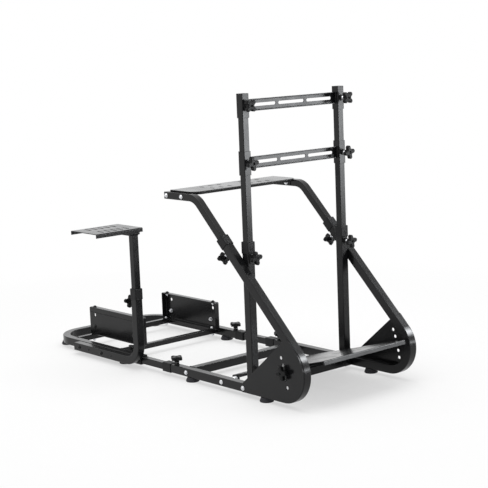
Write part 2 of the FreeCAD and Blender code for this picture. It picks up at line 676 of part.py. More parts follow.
def seat_bracket(side):
    """Pressed tray on edge: tall creased web outside, flanges turned in all round, seat bolt holes on top."""
    rear_x, front_x = BRACKET_FRONT_X - BRACKET_LENGTH, BRACKET_FRONT_X
    web_y = BRACKET_CENTRE_Y + side * BRACKET_SPAN / 2
    lip_y = web_y - side * BRACKET_FLANGE
    low_z, top_z, t = TUBE_TOP_Z, TUBE_TOP_Z + BRACKET_HEIGHT, BRACKET_SHEET
    low_y, high_y = sorted((web_y, lip_y))
    in_low, in_high = sorted((web_y - side * t, lip_y))
    tray = rounded_pan((rear_x, low_y, low_z), (front_x, high_y, top_z), BRACKET_BEND, 1, -side)
    tray = tray.cut(rounded_pan((rear_x + t, in_low, low_z + t), (front_x - t, in_high, top_z - t),
                                BRACKET_BEND - t, 1, -side))
    crease = V(rear_x + 2 * BRACKET_BEND, web_y, top_z - BRACKET_CREASE_DROP)
    tray = tray.cut(cylinder(BRACKET_CREASE_RADIUS, crease, FORWARD, BRACKET_LENGTH - 4 * BRACKET_BEND))
    mid_x, flange_mid_y = (rear_x + front_x) / 2, (web_y + lip_y) / 2
    for end in (-1, 1):
        hole_x = mid_x + end * (BRACKET_LENGTH / 2 - BRACKET_HOLE_INSET)
        start = V(hole_x, low_y, top_z - BRACKET_HOLE_DROP)
        tray = tray.cut(cylinder(BRACKET_HOLE_RADIUS, start, LEFT, BRACKET_FLANGE))
        bolt_x = mid_x + end * (BRACKET_LENGTH / 2 - SEAT_BOLT_INSET)
        start = V(bolt_x, flange_mid_y, top_z - 2 * t)
        tray = tray.cut(cylinder(SEAT_BOLT_RADIUS, start, UP, 3 * t))
    return tray


def shifter_leg():
    """L-shaped tube bolted along the right seat rail, with spacers, holes and a clamp nut."""
    start = V(SHIFTER_LEG_REAR_X, SHIFTER_Y, BASE_Z)
    run = SHIFTER_POST_X - SHIFTER_RADIUS - SHIFTER_LEG_REAR_X
    rise = SHIFTER_LOWER_TOP_Z - BASE_Z - SHIFTER_RADIUS
    steps = [(run,), (SHIFTER_RADIUS, 90.0), (rise,)]
    tube = bent(tube_face(OUTER, OUTER_WALL, OUTER_CORNER), start, FORWARD, RIGHT, steps)
    tube = add_clamp(tube, shifter_clamp_point(), REARWARD)
    for x in LEG_BOLT_XS:
        face = V(x, SHIFTER_Y - OUTER / 2, BASE_Z)
        tube = tube.cut(cylinder(LEG_BOLT_RADIUS, face, LEFT, OUTER_WALL))
        tube = tube.cut(cylinder(LEG_SCREW_RADIUS, face + FORWARD * LEG_SCREW_SHIFT, LEFT, OUTER_WALL))
        tube = tube.fuse(cylinder(BOSS_RADIUS, face + LEFT * OUTER, LEFT, SHIFTER_SPACER))
    return tube


def shifter_clamp_point():
    return V(SHIFTER_POST_X, SHIFTER_Y, SHIFTER_LOWER_TOP_Z - POST_CLAMP_DROP)


def shifter_post():
    """Height-adjusting post of the shifter stand."""
    start = V(SHIFTER_POST_X, SHIFTER_Y, SHIFTER_LOWER_TOP_Z - SHIFTER_POST_INSERT)
    top = SHIFTER_PLATE_TOP_Z - SHIFTER_PLATE_FLANGE - SHIFTER_PAD_THICKNESS
    return straight_tube(INNER, INNER_WALL, INNER_CORNER, start, UP, top - start.z, FORWARD)


def shifter_plate():
    """Slotted channel plate on a thick pad, reaching out past the post."""
    front_x = SHIFTER_POST_X + SHIFTER_PLATE_LEAD
    mid_x = front_x - SHIFTER_PLATE_DEPTH / 2
    inner_y = SHIFTER_Y + SHIFTER_PLATE_INSET
    mid_y, top_z = inner_y - SHIFTER_PLATE_WIDTH / 2, SHIFTER_PLATE_TOP_Z
    plate = channel(SHIFTER_PLATE_DEPTH, SHIFTER_PLATE_FLANGE, SHIFTER_PLATE_WIDTH)
    plate = place(plate, V(mid_x, inner_y, top_z), FORWARD, RIGHT)
    pad_front, pad_half = SHIFTER_POST_X + INNER / 2, SHIFTER_PAD_WIDTH / 2
    pad_low = top_z - SHIFTER_PLATE_FLANGE - SHIFTER_PAD_THICKNESS
    pad = box((pad_front - SHIFTER_PAD_LENGTH, SHIFTER_Y - pad_half, pad_low),
              (pad_front - SHEET, SHIFTER_Y + pad_half, top_z - SHEET / 2))
    corners = [e for e in pad.Edges if e.BoundBox.YLength > SHEET and e.CenterOfMass.z < pad_low + SHEET]
    plate = plate.fuse(pad.makeFillet(SHEET_BEND, corners)).removeSplitter()
    column_pitch = SHIFTER_SLOT_PITCH_Y / (SHIFTER_SLOTS_BETWEEN + 1)
    for sx in (-1, 1):
        for column in range(SHIFTER_SLOTS_BETWEEN + 2):
            y = mid_y - SHIFTER_SLOT_PITCH_Y / 2 + column * column_pitch
            centre = V(mid_x + sx * SHIFTER_SLOT_PITCH_X / 2, y, top_z)
            cutter = slot_cutter(centre, FORWARD, UP, SHIFTER_SLOT_LENGTH, SHIFTER_SLOT_WIDTH, 4 * SHEET)
            plate = plate.cut(cutter)
    return plate


def pair(make):
    """Both sides' solids of one kind in a single node."""
    return Part.makeCompound([make(side) for _, side in SIDES])


def build():
    """All nodes by name, in the frame whose X = 0 is the mast line."""
    nodes = {}
    for name, side in SIDES:
        nodes[name + "_side_tube"] = side_tube(side)
        nodes[name + "_gusset_plate"] = gusset_plate(side)
        nodes[name + "_mast_lower"] = mast_lower(side)
        nodes[name + "_mast_upper"] = mast_upper(side)
        nodes[name + "_wheel_arm"] = wheel_arm(side)
        nodes[name + "_link_tube"] = link_tube(side)
        nodes[name + "_seat_bracket"] = seat_bracket(side)
    nodes["mid_cross_tube"] = cross_tube(MID_CROSS_X, INNER_FACE_Y)
    nodes["front_cross_tube"] = cross_tube(0.0, MAST_Y - OUTER / 2)
    nodes["pedal_pivots"] = pair(pedal_pivot)
    nodes["pedal_plate"] = pedal_plate()
    nodes["pedal_knobs"] = pair(pedal_knob)

    nodes["mast_collars"] = pair(
        lambda s: collar(V(0, s * MAST_Y, MAST_LOWER_TOP_Z), UP, FORWARD, POST_COLLAR_LENGTH))
    nodes["mast_knobs"] = pair(lambda s: clamp_knob(mast_clamp_point(s), FORWARD, MAST_KNOB_STANDOFF[s]))
    nodes["mast_caps"] = pair(lambda s: inner_cap(V(0, s * MAST_Y, MAST_TOP_Z - CAP_THICKNESS), UP, FORWARD))
    nodes["arm_collars"] = pair(
        lambda s: collar(diagonal_point(DIAGONAL_TOP_Z, s), DIAGONAL, LEFT, POST_COLLAR_LENGTH))
    nodes["arm_knobs"] = pair(lambda s: clamp_knob(arm_clamp_point(s), DIAGONAL_UNDER, ARM_KNOB_STANDOFF))
    nodes["arm_end_caps"] = pair(lambda s: inner_cap(V(ARM_REAR_X, s * HALF_WIDTH, ARM_Z), REARWARD, LEFT))
    nodes["wheel_plate"] = wheel_plate()

    nodes["base_collars"] = pair(lambda s: collar(V(BASE_REAR_X, s * HALF_WIDTH, BASE_Z), REARWARD, LEFT))
    nodes["base_knobs"] = pair(lambda s: clamp_knob(base_clamp_point(s), UP, RAIL_KNOB_STANDOFF))
    nodes["seat_collars"] = pair(lambda s: collar(V(SEAT_FRONT_X, s * HALF_WIDTH, BASE_Z), FORWARD, LEFT))
    nodes["seat_knobs"] = pair(lambda s: clamp_knob(seat_clamp_point(s), UP, RAIL_KNOB_STANDOFF))
    nodes["base_feet"] = Part.makeCompound(
        [foot(x, s * HALF_WIDTH) for x in (BASE_FOOT_REAR_X, BASE_FOOT_FRONT_X) for _, s in SIDES])

    corner_shift = SEAT_CORNER_RADIUS * (1 - math.sqrt(0.5))
    seat_feet = [foot(SEAT_FOOT_FRONT_X, s * HALF_WIDTH) for _, s in SIDES]
    seat_feet += [foot(SEAT_REAR_X + corner_shift, s * (HALF_WIDTH - corner_shift)) for _, s in SIDES]
    nodes["seat_feet"] = Part.makeCompound(seat_feet)
    nodes["seat_loop_tube"] = seat_loop()
    nodes["seat_front_bar"] = seat_bar(SEAT_FRONT_BAR_X)
    nodes["seat_rear_bar"] = seat_bar(SEAT_REAR_BAR_X)

    nodes["shifter_leg_tube"] = shifter_leg()
    nodes["shifter_leg_plug"] = end_cap(V(SHIFTER_LEG_REAR_X, SHIFTER_Y, BASE_Z), REARWARD, LEFT,
                                        OUTER, OUTER_WALL, OUTER_CORNER)
    nodes["shifter_collar"] = collar(V(SHIFTER_POST_X, SHIFTER_Y, SHIFTER_LOWER_TOP_Z), UP, FORWARD,
                                     POST_COLLAR_LENGTH)
    nodes["shifter_knob"] = clamp_knob(shifter_clamp_point(), REARWARD, SHIFTER_KNOB_STANDOFF)
    nodes["shifter_post"] = shifter_post()
    nodes["shifter_plate"] = shifter_plate()

    bars = (("upper", UPPER_SLEEVE_TOP_Z, KNOB_TURN_SQUARE), ("lower", LOWER_SLEEVE_TOP_Z, KNOB_TURN))
    for name, top_z, turn in bars:
        mid_z = top_z - SLEEVE_HEIGHT / 2
        nodes[name + "_sleeves"] = pair(lambda s: sleeve(s, top_z))
        nodes[name + "_monitor_bar"] = monitor_bar(top_z)
        nodes[name + "_bar_knobs"] = pair(
            lambda s: clamp_knob(V(0, s * MAST_Y, mid_z), FORWARD, MAST_KNOB_STANDOFF[s], turn))
    return nodes


def main():
    """Move the origin to the middle of the footprint on the floor and write every node."""
    nodes = build()
    whole = FreeCAD.BoundBox()
    for shape in nodes.values():
        whole.add(shape.optimalBoundingBox(False, False))
    shift = V(-(whole.XMin + whole.XMax) / 2, -(whole.YMin + whole.YMax) / 2, -whole.ZMin)
    print("box", round(whole.XLength, 2), round(whole.YLength, 2), round(whole.ZLength, 2))
    print("shift", round(shift.x, 3), round(shift.y, 3), round(shift.z, 3))
    os.makedirs("parts", exist_ok=True)
    for name, shape in nodes.items():
        shape.translate(shift)
        shape.exportStep(os.path.join("parts", name + ".step"))


main()
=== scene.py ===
import json
import math

import bmesh
import bpy
from bpy.props import FloatProperty, FloatVectorProperty, PointerProperty
from mathutils import Matrix, Vector


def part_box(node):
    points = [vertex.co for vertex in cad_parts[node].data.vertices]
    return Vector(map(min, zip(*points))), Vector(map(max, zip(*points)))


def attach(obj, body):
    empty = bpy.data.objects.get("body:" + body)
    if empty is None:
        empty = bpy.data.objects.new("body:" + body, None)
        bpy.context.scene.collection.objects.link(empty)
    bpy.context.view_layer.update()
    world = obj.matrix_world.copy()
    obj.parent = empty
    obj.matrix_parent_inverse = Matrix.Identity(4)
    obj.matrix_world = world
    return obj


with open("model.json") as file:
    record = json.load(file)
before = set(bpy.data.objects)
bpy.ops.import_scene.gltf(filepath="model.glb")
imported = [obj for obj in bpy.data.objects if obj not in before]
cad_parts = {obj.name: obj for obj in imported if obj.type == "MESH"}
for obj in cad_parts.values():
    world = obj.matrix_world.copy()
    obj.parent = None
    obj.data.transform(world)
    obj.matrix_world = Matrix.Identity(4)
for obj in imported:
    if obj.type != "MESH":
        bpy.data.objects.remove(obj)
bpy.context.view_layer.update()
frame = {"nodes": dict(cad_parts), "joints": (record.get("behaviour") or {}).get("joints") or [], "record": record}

bl_info = {
    "name": "Driving Stand Dresser",
    "version": (1, 0, 0),
    "blender": (4, 5, 0),
    "location": "View3D > Sidebar > Driving Stand",
    "description": "Adds fasteners, weld beads, finishes and a studio stage to a tubular driving stand",
    "category": "Object",
}

CROSS_LOW, CROSS_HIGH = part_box("front_cross_tube")
MAST_LINE = Vector(((CROSS_LOW.x + CROSS_HIGH.x) / 2, (CROSS_LOW.y + CROSS_HIGH.y) / 2, 0.0))
SIDES = (("right", -1), ("left", 1))
X, Y, Z = Vector((1, 0, 0)), Vector((0, 1, 0)), Vector((0, 0, 1))
CLIMB = next(Vector(joint["axis"]) for joint in frame["joints"] if joint["name"] == "wheel_slide")
UNDER_DIAGONAL = Vector((-CLIMB.z, 0, CLIMB.x))

# Places of bolts, screws, nuts and plugs: millimetres ahead of the masts and above the floor.
MAST_BOLT, MAST_NUT = (0.0, 31.0), (0.0, 60.0)
TUBE_BOLTS = ((-117.0, 31.0), (-312.0, 31.0))
GUSSET_SCREWS = ((187.0, 135.0), (202.0, 103.0))
ARM_BOLTS = ((-381.0, 660.0), (-297.0, 660.0))
LEG_BOLTS = ((-938.0, 31.0), (-791.0, 31.0))
LEG_PLUGS = ((-875.0, 33.0), (-724.0, 33.0))

# In metres: sheet of the wheel deck's tabs and of the seat brackets, and a bracket's bolts from its ends and foot.
TAB_SHEET, BRACKET_SHEET = 0.0025, 0.003
SEAT_BOLT_INSET = 0.024
WEB_BOLT_REAR, WEB_BOLT_FRONT, WEB_BOLT_RISE = 0.035, 0.051, 0.035


class FastenerSizes(bpy.types.PropertyGroup):
    """Sizes of the bolts, nuts, welds, clamp screws, rings and collar marks, and of the wheel deck's lip."""
    bolt_radius: FloatProperty(
        name="Bolt Head Radius", description="Radius of the domed bolt heads", default=0.0062, unit="LENGTH")
    bolt_height: FloatProperty(
        name="Bolt Head Height", description="Height of the domed bolt heads", default=0.0042, unit="LENGTH")
    washer_radius: FloatProperty(
        name="Washer Radius", description="Radius of the plain washers", default=0.0082, unit="LENGTH")
    washer_height: FloatProperty(
        name="Washer Thickness", description="Thickness of the plain washers", default=0.0014, unit="LENGTH")
    nut_radius: FloatProperty(
        name="Nut Radius", description="Corner radius of the hexagon nuts", default=0.0075, unit="LENGTH")
    nut_height: FloatProperty(
        name="Nut Height", description="Height of the hexagon nuts", default=0.0062, unit="LENGTH")
    bead_radius: FloatProperty(
        name="Weld Bead Radius", description="Radius of the weld beads", default=0.0022, unit="LENGTH")
    bead_pitch: FloatProperty(
        name="Weld Ripple", description="Length of one ripple of a weld bead", default=0.0021, unit="LENGTH")
    ring_radius: FloatProperty(
        name="Knob Ring Radius", description="Radius of the ring round a knob's recess", default=0.0043,
        unit="LENGTH")
    ring_section: FloatProperty(
        name="Knob Ring Section", description="Thickness of the ring round a knob's recess", default=0.0014,
        unit="LENGTH")
    boss_radius: FloatProperty(
        name="Boss Weld Radius", description="Radius of the weld round a clamp nut", default=0.0094, unit="LENGTH")
    boss_section: FloatProperty(
        name="Boss Weld Section", description="Thickness of the weld round a clamp nut", default=0.003, unit="LENGTH")
    thread_radius: FloatProperty(
        name="Thread Radius", description="Radius of the clamp screws' thread", default=0.0045, unit="LENGTH")
    thread_pitch: FloatProperty(
        name="Thread Pitch", description="Pitch of the clamp screws' thread", default=0.00125, unit="LENGTH")
    mark_radius: FloatProperty(
        name="Collar Mark Radius", description="Radius of the round boss on a mast collar", default=0.0045,
        unit="LENGTH")
    lip_drop: FloatProperty(
        name="Deck Lip Drop", description="Depth of the lip along the wheel deck's front", default=0.0102,
        unit="LENGTH")


class FinishColours(bpy.types.PropertyGroup):
    """Colours of the stand's finishes."""
    coat: FloatVectorProperty(
        name="Powder Coat", description="Colour of the coated steel", size=4, subtype="COLOR",
        default=(0.007, 0.0071, 0.0077, 1.0))
    worn_coat: FloatVectorProperty(
        name="Rubbed Coat", description="Colour of the coat where edges are rubbed", size=4, subtype="COLOR",
        default=(0.03, 0.0305, 0.032, 1.0))
    zinc: FloatVectorProperty(
        name="Zinc", description="Colour of the plated fasteners", size=4, subtype="COLOR",
        default=(0.84, 0.85, 0.87, 1.0))
    zinc_stain: FloatVectorProperty(
        name="Zinc Stain", description="Colour of the dull patches on the plating", size=4, subtype="COLOR",
        default=(0.6, 0.61, 0.63, 1.0))
    collar: FloatVectorProperty(
        name="Collar Plastic", description="Colour of the collars and plugs", size=4, subtype="COLOR",
        default=(0.012, 0.0121, 0.0128, 1.0))
    knob: FloatVectorProperty(
        name="Knob Plastic", description="Colour of the clamping knobs", size=4, subtype="COLOR",
        default=(0.0055, 0.0056, 0.006, 1.0))
    rubber: FloatVectorProperty(
        name="Foot Rubber", description="Colour of the feet", size=4, subtype="COLOR",
        default=(0.009, 0.009, 0.0093, 1.0))
    dust: FloatVectorProperty(
        name="Dust", description="Colour of the thin dust on upward faces", size=4, subtype="COLOR",
        default=(0.06, 0.059, 0.057, 1.0))
    floor: FloatVectorProperty(
        name="Floor", description="Colour of the studio floor", size=4, subtype="COLOR",
        default=(0.96, 0.96, 0.96, 1.0))


class StageSettings(bpy.types.PropertyGroup):
    """Camera and lamps."""
    camera_place: FloatVectorProperty(
        name="Camera Place", description="Camera position from the foot of the mast line", size=3,
        subtype="TRANSLATION", unit="LENGTH", default=(3.3404, -3.0968, 1.2225))
    camera_heading: FloatProperty(
        name="Camera Heading", description="Direction of view, turned from the forward axis", subtype="ANGLE",
        default=math.radians(139.44))
    camera_pitch: FloatProperty(
        name="Camera Pitch", description="How far the camera looks down", subtype="ANGLE",
        default=math.radians(9.08))
    camera_roll: FloatProperty(
        name="Camera Roll", description="Tilt of the picture", subtype="ANGLE", default=math.radians(-2.25))
    camera_lens: FloatProperty(
        name="Lens", description="Focal length in millimetres", default=98.62)
    room_level: FloatProperty(
        name="Room Light", description="Strength of the soft light from all round", default=0.7)
    front_power: FloatProperty(
        name="Front Box Power", description="Power of the box that the front bends reflect", default=4.8,
        unit="POWER")
    front_spread: FloatProperty(
        name="Front Box Spread", description="Beam angle that the front box's grid lets through", subtype="ANGLE",
        default=math.radians(26.0))
    upper_power: FloatProperty(
        name="Upper Box Power", description="Power of the dim high box ahead", default=12.0, unit="POWER")
    low_power: FloatProperty(
        name="Low Box Power", description="Power of the low box that the masts reflect", default=1.95, unit="POWER")
    low_spread: FloatProperty(
        name="Low Box Spread", description="Beam angle that the low box's grid lets through", subtype="ANGLE",
        default=math.radians(24.0))
    back_power: FloatProperty(
        name="Back Box Power", description="Power of the wide box that the level plates reflect", default=8.0,
        unit="POWER")
    box_colour: FloatVectorProperty(
        name="Box Colour", description="Colour of the reflected boxes", size=3, subtype="COLOR",
        default=(0.95, 0.975, 1.0))
    top_power: FloatProperty(
        name="Top Box Power", description="Power of the soft box overhead", default=62.0, unit="POWER")
    floor_radius: FloatProperty(
        name="Floor Radius", description="Radius at which the studio floor has faded out", default=2.3, unit="LENGTH")
    floor_lift: FloatProperty(
        name="Floor Lift", description="Share of plain white in the floor, which lightens its shadows", default=0.55,
        subtype="FACTOR")


class StandSettings(bpy.types.PropertyGroup):
    """All settings of the driving stand."""
    fasteners: PointerProperty(
        name="Fasteners", description="Sizes of bolts, nuts, welds and rings", type=FastenerSizes)
    finishes: PointerProperty(
        name="Finishes", description="Colours of the finishes", type=FinishColours)
    stage: PointerProperty(
        name="Stage", description="Camera and lamps", type=StageSettings)


def stand_settings():
    return bpy.context.scene.driving_stand


def spot(x, y, z):
    """Point given in millimetres ahead of the masts, left of the middle and above the floor."""
    return MAST_LINE + Vector((x, y, z)) / 1000


def facing(point, outward):
    """Matrix that stands a template's own Z axis on a face."""
    return Matrix.Translation(point) @ outward.to_track_quat("Z", "Y").to_matrix().to_4x4()


def side_face(box, side):
    """Y of the face of a box that looks to one side."""
    low, high = box
    return high.y if side > 0 else low.y


def on_side(place, face):
    """Point on an upright side face, from millimetres ahead of the masts and above the floor."""
    ahead, height = place
    point = spot(ahead, 0.0, height)
    point.y = face
    return point


# Node groups

def group_with(name, inputs, outputs):
    """Empty shader node group with named float inputs and typed outputs."""
    tree = bpy.data.node_groups.new(name, "ShaderNodeTree")
    for label, default in inputs:
        socket = tree.interface.new_socket(label, in_out="INPUT", socket_type="NodeSocketFloat")
        socket.default_value = default
    for label, kind in outputs:
        tree.interface.new_socket(label, in_out="OUTPUT", socket_type=kind)
    return tree, tree.nodes.new("NodeGroupInput"), tree.nodes.new("NodeGroupOutput")


def node(tree, kind, **settings):
    made = tree.nodes.new(kind)
    for label, value in settings.items():
        setattr(made, label, value)
    return made


def feed(tree, socket, value):
    """Links a socket to an output, or gives it a plain value."""
    if isinstance(value, bpy.types.NodeSocket):
        tree.links.new(value, socket)
    else:
        socket.default_value = value


def maths(tree, operation, first, second, clamp=False):
    """Math node fed by sockets or numbers."""
    made = node(tree, "ShaderNodeMath", operation=operation, use_clamp=clamp)
    feed(tree, made.inputs[0], first)
    feed(tree, made.inputs[1], second)
    return made.outputs[0]


def ranged(tree, value, low=0.0, high=1.0, to_low=0.0, to_high=1.0):
    """Map Range node that clamps."""
    made = node(tree, "ShaderNodeMapRange", clamp=True)
    tree.links.new(value, made.inputs["Value"])
    for label, number in (("From Min", low), ("From Max", high), ("To Min", to_low), ("To Max", to_high)):
        made.inputs[label].default_value = number
    return made.outputs["Result"]


def noise(tree, vector, scale, detail):
    made = node(tree, "ShaderNodeTexNoise")
    tree.links.new(vector, made.inputs["Vector"])
    feed(tree, made.inputs["Scale"], scale)
    made.inputs["Detail"].default_value = detail
    return made.outputs["Fac"]


def surface_grain_group():
    """Fine height and slow tone of a coated or moulded surface."""
    found = bpy.data.node_groups.get("Surface Grain")
    if found:
        return found
    tree, given, result = group_with(
        "Surface Grain", (("Grain Scale", 700.0), ("Tone Scale", 14.0)),
        (("Height", "NodeSocketFloat"), ("Tone", "NodeSocketFloat")))
    place = node(tree, "ShaderNodeTexCoord").outputs["Object"]
    grain = noise(tree, place, given.outputs["Grain Scale"], detail=3.0)
    tone = noise(tree, place, given.outputs["Tone Scale"], detail=5.0)
    tree.links.new(grain, result.inputs["Height"])
    tree.links.new(ranged(tree, tone, low=0.3, high=0.7), result.inputs["Tone"])
    return tree


def edge_wear_group():
    """Softened normal at edges, and a broken mask where edges are rubbed."""
    found = bpy.data.node_groups.get("Edge Wear")
    if found:
        return found
    tree, given, result = group_with(
        "Edge Wear", (("Reach", 0.0012), ("Amount", 0.5)),
        (("Wear", "NodeSocketFloat"), ("Soft Normal", "NodeSocketVector")))
    bevel = node(tree, "ShaderNodeBevel", samples=6)
    tree.links.new(given.outputs["Reach"], bevel.inputs["Radius"])
    flat = node(tree, "ShaderNodeNewGeometry").outputs["Normal"]
    dot = node(tree, "ShaderNodeVectorMath", operation="DOT_PRODUCT")
    tree.links.new(bevel.outputs["Normal"], dot.inputs[0])
    tree.links.new(flat, dot.inputs[1])
    bend = ranged(tree, dot.outputs["Value"], low=0.995, high=0.8)
    place = node(tree, "ShaderNodeTexCoord").outputs["Object"]
    broken = ranged(tree, noise(tree, place, scale=55.0, detail=6.0), low=0.42, high=0.66)
    worn = maths(tree, "MULTIPLY", bend, broken)
    worn = maths(tree, "MULTIPLY", worn, given.outputs["Amount"], clamp=True)
    tree.links.new(worn, result.inputs["Wear"])
    tree.links.new(bevel.outputs["Normal"], result.inputs["Soft Normal"])
    return tree


def dust_group():
    """Thin uneven dust on faces that look up."""
    found = bpy.data.node_groups.get("Settled Dust")
    if found:
        return found
    tree, given, result = group_with(
        "Settled Dust", (("Amount", 0.15),), (("Dust", "NodeSocketFloat"),))
    split = node(tree, "ShaderNodeSeparateXYZ")
    tree.links.new(node(tree, "ShaderNodeNewGeometry").outputs["Normal"], split.inputs[0])
    up = ranged(tree, split.outputs["Z"], low=0.45, high=0.95)
    place = node(tree, "ShaderNodeTexCoord").outputs["Object"]
    patches = ranged(tree, noise(tree, place, scale=9.0, detail=7.0), low=0.36, high=0.7)
    layer = maths(tree, "MULTIPLY", up, patches)
    layer = maths(tree, "MULTIPLY", layer, given.outputs["Amount"], clamp=True)
    tree.links.new(layer, result.inputs["Dust"])
    return tree


def use_group(tree, group, **values):
    made = node(tree, "ShaderNodeGroup", node_tree=group)
    for label, value in values.items():
        made.inputs[label.replace("_", " ")].default_value = value
    return made


# Sockets of a Mix node that mixes colours.
MIX_FIRST, MIX_SECOND, MIX_RESULT = 6, 7, 2


def blended(tree, mask, first, second):
    """Colour mix by a mask; colours are sockets or plain values."""
    made = node(tree, "ShaderNodeMix", data_type="RGBA")
    tree.links.new(mask, made.inputs["Factor"])
    feed(tree, made.inputs[MIX_FIRST], first)
    feed(tree, made.inputs[MIX_SECOND], second)
    return made.outputs[MIX_RESULT]


def relief(tree, height, strength, depth):
    """Bump node that a height feeds."""
    made = node(tree, "ShaderNodeBump")
    made.inputs["Strength"].default_value = strength
    made.inputs["Distance"].default_value = depth
    tree.links.new(height, made.inputs["Height"])
    return made


def new_material(name):
    """Material, its node tree and its shader."""
    material = bpy.data.materials.new(name)
    material.use_nodes = True
    return material, material.node_tree, material.node_tree.nodes["Principled BSDF"]


def shaded(colour, share):
    return tuple(channel * share for channel in colour[:3]) + (1.0,)


# How far a finish varies from place to place: shares of its colour, what is added to its roughness, and the depth
# of its grain in metres.
DARK_SHARE, LIGHT_SHARE = 0.82, 1.15
GLOSSY_PATCH, DULL_PATCH, DUST_DULLING = -0.03, 0.04, 0.3
COAT_GRAIN_DEPTH, ZINC_GRAIN_DEPTH = 0.0002, 0.0001


def coated_finish(name, colour, *, grain_scale, bump, rough, wear, dust, reach, level):
    """Coated or moulded dark surface with grain, tone, rubbed edges and dust."""
    found = bpy.data.materials.get(name)
    if found:
        return found
    c = stand_settings().finishes
    material, tree, shader = new_material(name)
    shader.inputs["Specular IOR Level"].default_value = level
    grain = use_group(tree, surface_grain_group(), Grain_Scale=grain_scale, Tone_Scale=14.0)
    edge = use_group(tree, edge_wear_group(), Reach=reach, Amount=wear)
    film = use_group(tree, dust_group(), Amount=dust)
    body = blended(tree, grain.outputs["Tone"], shaded(colour, DARK_SHARE), shaded(colour, LIGHT_SHARE))
    body = blended(tree, edge.outputs["Wear"], body, tuple(c.worn_coat))
    body = blended(tree, film.outputs["Dust"], body, tuple(c.dust))
    tree.links.new(body, shader.inputs["Base Color"])
    gloss = ranged(tree, grain.outputs["Tone"], to_low=rough + GLOSSY_PATCH, to_high=rough + DULL_PATCH)
    gloss = maths(tree, "ADD", gloss, maths(tree, "MULTIPLY", film.outputs["Dust"], DUST_DULLING))
    tree.links.new(gloss, shader.inputs["Roughness"])
    grained = relief(tree, grain.outputs["Height"], bump, COAT_GRAIN_DEPTH)
    tree.links.new(edge.outputs["Soft Normal"], grained.inputs["Normal"])
    tree.links.new(grained.outputs["Normal"], shader.inputs["Normal"])
    return material


def coat_material():
    return coated_finish(
        "black_powder_coat", stand_settings().finishes.coat,
        grain_scale=620.0, bump=0.09, rough=0.21, wear=0.5, dust=0.06, reach=0.0014, level=0.25)


def collar_material():
    return coated_finish(
        "grained_collar_plastic", stand_settings().finishes.collar,
        grain_scale=900.0, bump=0.7, rough=0.42, wear=0.25, dust=0.1, reach=0.001, level=0.16)


def knob_material():
    return coated_finish(
        "satin_knob_plastic", stand_settings().finishes.knob,
        grain_scale=1100.0, bump=0.25, rough=0.33, wear=0.2, dust=0.05, reach=0.0016, level=0.15)


def rubber_material():
    return coated_finish(
        "foot_rubber", stand_settings().finishes.rubber,
        grain_scale=480.0, bump=0.6, rough=0.7, wear=0.2, dust=0.08, reach=0.0014, level=0.2)


def zinc_material():
    """Bright plating with faint stains."""
    found = bpy.data.materials.get("bright_zinc")
    if found:
        return found
    c = stand_settings().finishes
    material, tree, shader = new_material("bright_zinc")
    shader.inputs["Metallic"].default_value = 1.0
    grain = use_group(tree, surface_grain_group(), Grain_Scale=1500.0, Tone_Scale=160.0)
    plating = blended(tree, grain.outputs["Tone"], tuple(c.zinc_stain), tuple(c.zinc))
    tree.links.new(plating, shader.inputs["Base Color"])
    gloss = ranged(tree, grain.outputs["Tone"], to_low=0.36, to_high=0.24)
    tree.links.new(gloss, shader.inputs["Roughness"])
    grained = relief(tree, grain.outputs["Height"], strength=0.08, depth=ZINC_GRAIN_DEPTH)
    tree.links.new(grained.outputs["Normal"], shader.inputs["Normal"])
    return material


# Mesh templates and pieces

# Points closer than this are one point.
MERGE = 1e-6

# Shares of a washer's, bolt head's or nut's own radius or height.
WASHER_ROUND = 0.35
DOME_TOP, DOME_ROUND = 0.78, 0.42
SOCKET_RIM, SOCKET_FLAT, SOCKET_DEPTH = 0.14, 0.42, 0.55
HEXAGON_HEIGHT, NUT_ROUND = 0.7, 0.1
CROWN_FOOT, CROWN_RADIUS, CROWN_TOP = 0.6, 0.78, 0.66
SCREW_HEIGHT, SCREW_RADIUS, SCREW_TOP, SCREW_ROUND = 1.5, 0.42, 0.4, 0.08


def to_mesh(bm, name):
    bmesh.ops.remove_doubles(bm, verts=bm.verts, dist=MERGE)
    bmesh.ops.recalc_face_normals(bm, faces=bm.faces)
    mesh = bpy.data.meshes.new(name)
    bm.to_mesh(mesh)
    bm.free()
    return mesh


def rim_edges(bm, height):
    """Edges that lie level at a height."""
    return [e for e in bm.edges if all(abs(v.co.z - height) < MERGE for v in e.verts)]


def rounded(bm, edges, offset, segments):
    bmesh.ops.bevel(bm, geom=edges, offset=offset, affect="EDGES", segments=segments, profile=0.5, material=-1)


def disc(bm, radius, low, high, segments, top_radius=None):
    """Closed round or many-sided block on the Z axis."""
    made = bmesh.ops.create_cone(bm, cap_ends=True, segments=segments, radius1=radius,
                                 radius2=top_radius or radius, depth=high - low)
    bmesh.ops.translate(bm, vec=(0, 0, (low + high) / 2), verts=made["verts"])


def washer_template():
    s = stand_settings().fasteners
    bm = bmesh.new()
    disc(bm, s.washer_radius, 0.0, s.washer_height, segments=28)
    rounded(bm, rim_edges(bm, s.washer_height), s.washer_height * WASHER_ROUND, segments=2)
    return to_mesh(bm, "washer")


